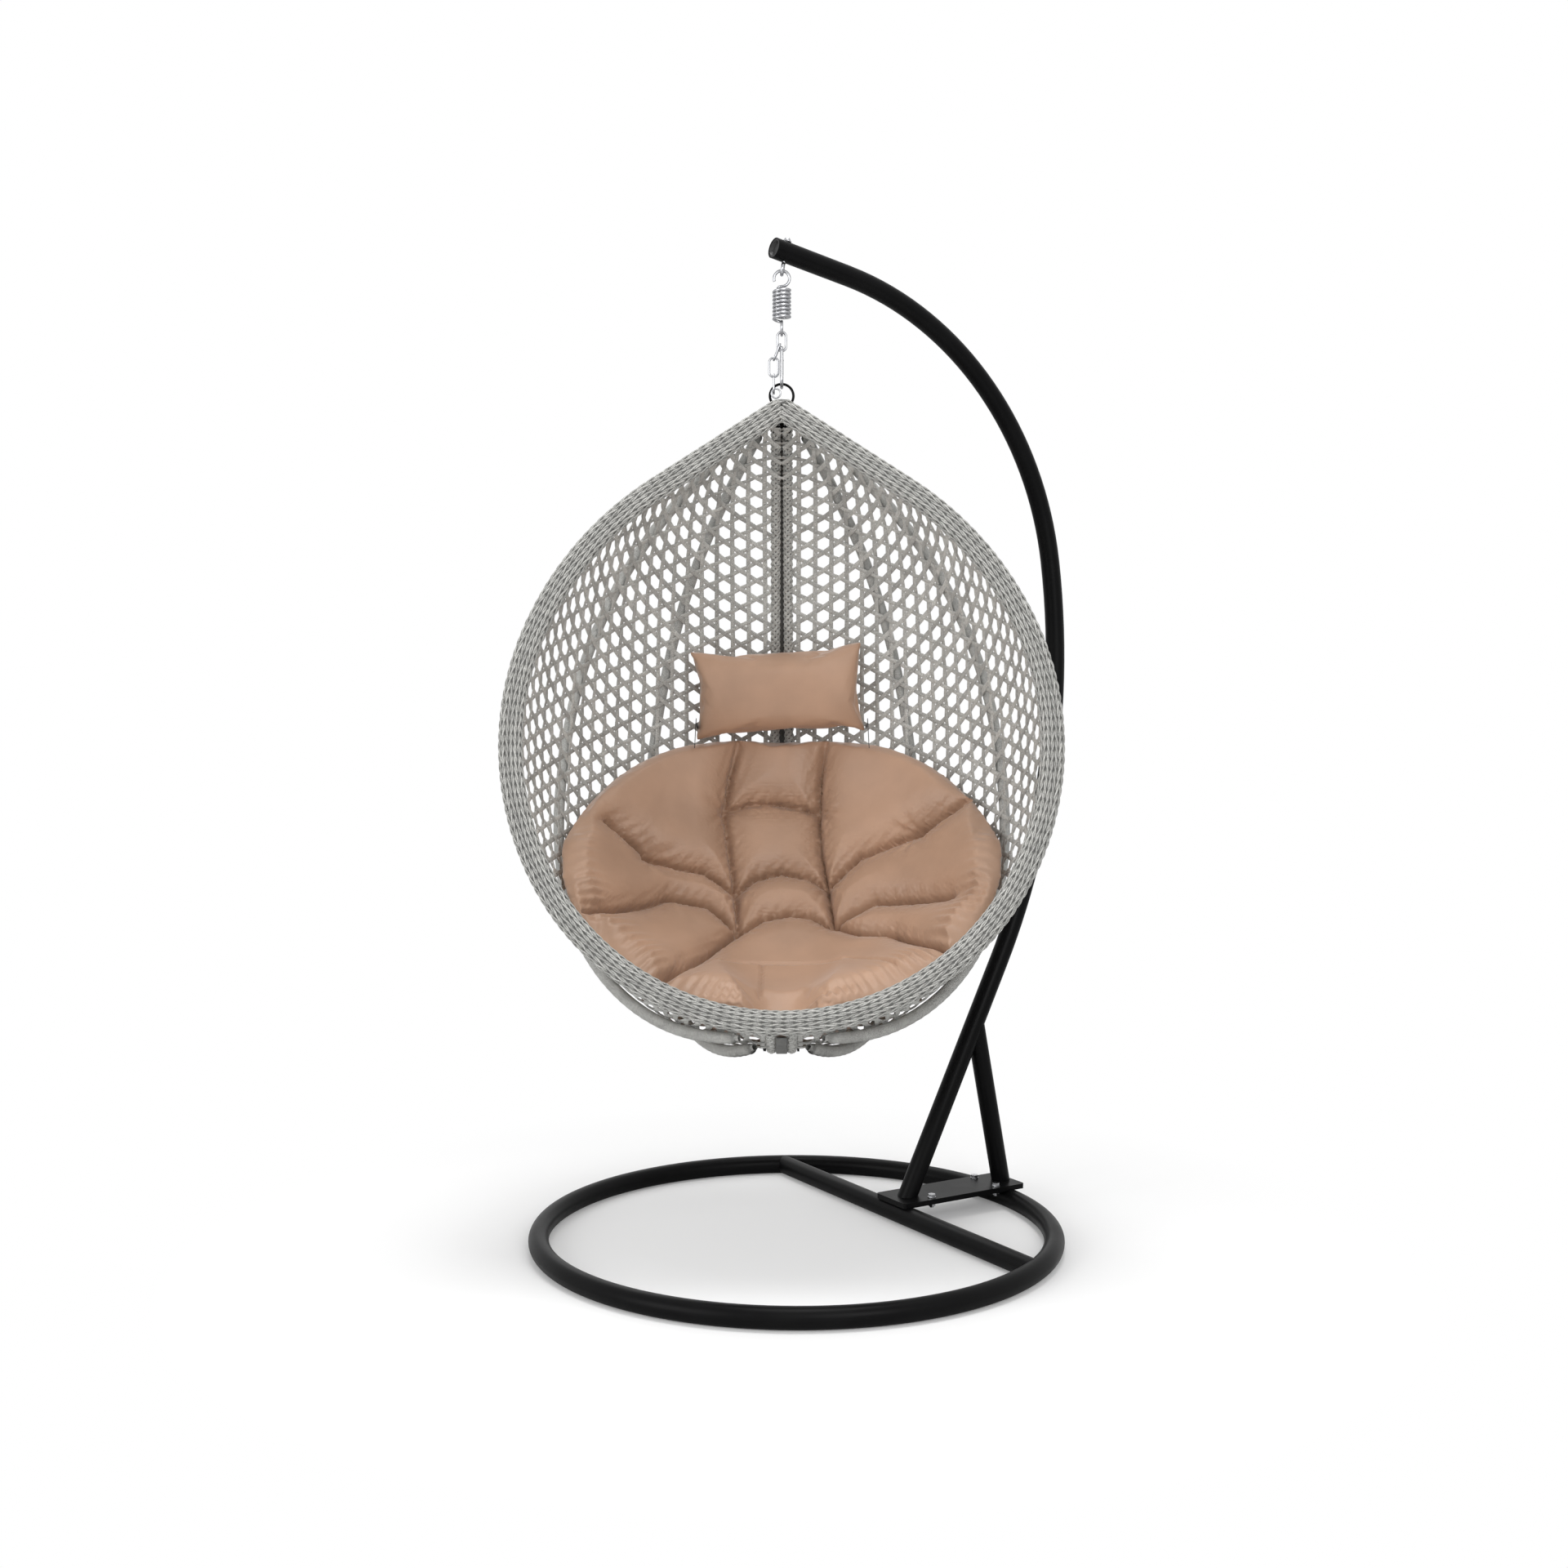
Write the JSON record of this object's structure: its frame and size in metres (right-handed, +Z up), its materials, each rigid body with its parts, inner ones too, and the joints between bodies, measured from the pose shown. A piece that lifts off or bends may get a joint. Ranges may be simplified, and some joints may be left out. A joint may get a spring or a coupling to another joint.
{
  "type": "hanging egg chair",
  "caption": "Egg-shaped woven basket seat hung by a spring and links from a bent steel arm on a round floor ring, with a tufted seat cushion and a head pillow",
  "frame": {"origin": "On the floor, at the middle of the base ring.", "axes": "+Z up. The basket's mouth faces -Y. The arm's plane is turned 31.4 degrees from +X towards +Y, and its post stands at +X, +Y."},
  "size_m": [1.0765, 1.0005, 1.8656],
  "materials": {
    "black_steel": "satin powder coat",
    "zinc_steel": "bright zinc plated",
    "black_plastic": "moulded",
    "twisted_rope": "two-strand twisted rope",
    "woven_strip": "flat woven strip",
    "satin_cloth": "satin cloth, tufted",
    "black_tape": "flat tape"
  },
  "bodies": {
    "stand": {"base_ring": "black_steel", "cross_tube": "black_steel", "lower_base_plate": "black_steel", "upper_base_plate": "black_steel", "main_post": "black_steel", "brace_tube": "black_steel", "joint_sleeve": "black_steel", "joint_bolts": "zinc_steel", "joint_nuts": "zinc_steel", "upper_arm": "black_steel", "arm_end_cap": "black_plastic", "plate_bolts": "zinc_steel", "plate_washers": "zinc_steel", "plate_nuts": "zinc_steel", "eye_bolt": "zinc_steel", "eye_bolt_washer": "zinc_steel", "eye_bolt_nut": "zinc_steel"},
    "spring_top": {"spring_upper_loop": "zinc_steel", "spring_coil": "zinc_steel"},
    "spring_bottom": {"spring_lower_loop": "zinc_steel"},
    "link": {"top_link": "zinc_steel"},
    "basket": {"snap_hook": "zinc_steel", "gate_rivet": "zinc_steel", "safety_link_upper": "zinc_steel", "safety_link_middle": "zinc_steel", "safety_link_lower": "zinc_steel", "safety_ring": "zinc_steel", "apex_ring": "black_steel", "apex_lug": "black_steel", "left_rim_tube": "black_steel", "right_rim_tube": "black_steel", "left_rim_winding": "twisted_rope", "right_rim_winding": "twisted_rope", "left_centre_tube": "black_steel", "right_centre_tube": "black_steel", "left_centre_braid": "woven_strip", "right_centre_braid": "woven_strip", "left_outer_rib": "woven_strip", "left_inner_rib": "woven_strip", "right_inner_rib": "woven_strip", "right_outer_rib": "woven_strip", "left_woven_panel": "woven_strip", "right_woven_panel": "woven_strip", "bottom_spacer": "black_steel", "bottom_bolt": "black_steel", "bottom_nut": "black_steel", "seat_cushion": "satin_cloth", "head_pillow": "satin_cloth", "pillow_ties": "black_tape"},
    "gate": {"hook_gate": "zinc_steel"}
  },
  "joints": [
    {"name": "fore_swing", "type": "hinge", "parent": "stand", "child": "spring_top", "pos_m": [-0.02737, -0.01579, 1.80351], "axis": [1, 0, 0], "range_deg": [-12, 5]},
    {"name": "spring_stretch", "type": "slide", "parent": "spring_top", "child": "spring_bottom", "axis": [0, 0, -1], "range_m": [-0.006, 0.045], "stiffness_N_per_m": 18000, "springref_m": -0.0126, "deforming": ["spring_coil"]},
    {"name": "basket_turn", "type": "hinge", "parent": "spring_bottom", "child": "link", "pos_m": [-0.02737, -0.01579, 1.68], "axis": [0, 0, 1], "range_deg": [-20, 20]},
    {"name": "side_swing", "type": "hinge", "parent": "link", "child": "basket", "pos_m": [-0.02737, -0.01579, 1.66539], "axis": [0, 1, 0], "range_deg": [-5, 5]},
    {"name": "hook_gate_turn", "type": "hinge", "parent": "basket", "child": "gate", "pos_m": [-0.02737, -0.00483, 1.64236], "axis": [-1, 0, 0], "range_deg": [0, 25], "stiffness_Nm_per_rad": 0.05, "springref_deg": -17.19}
  ]
}
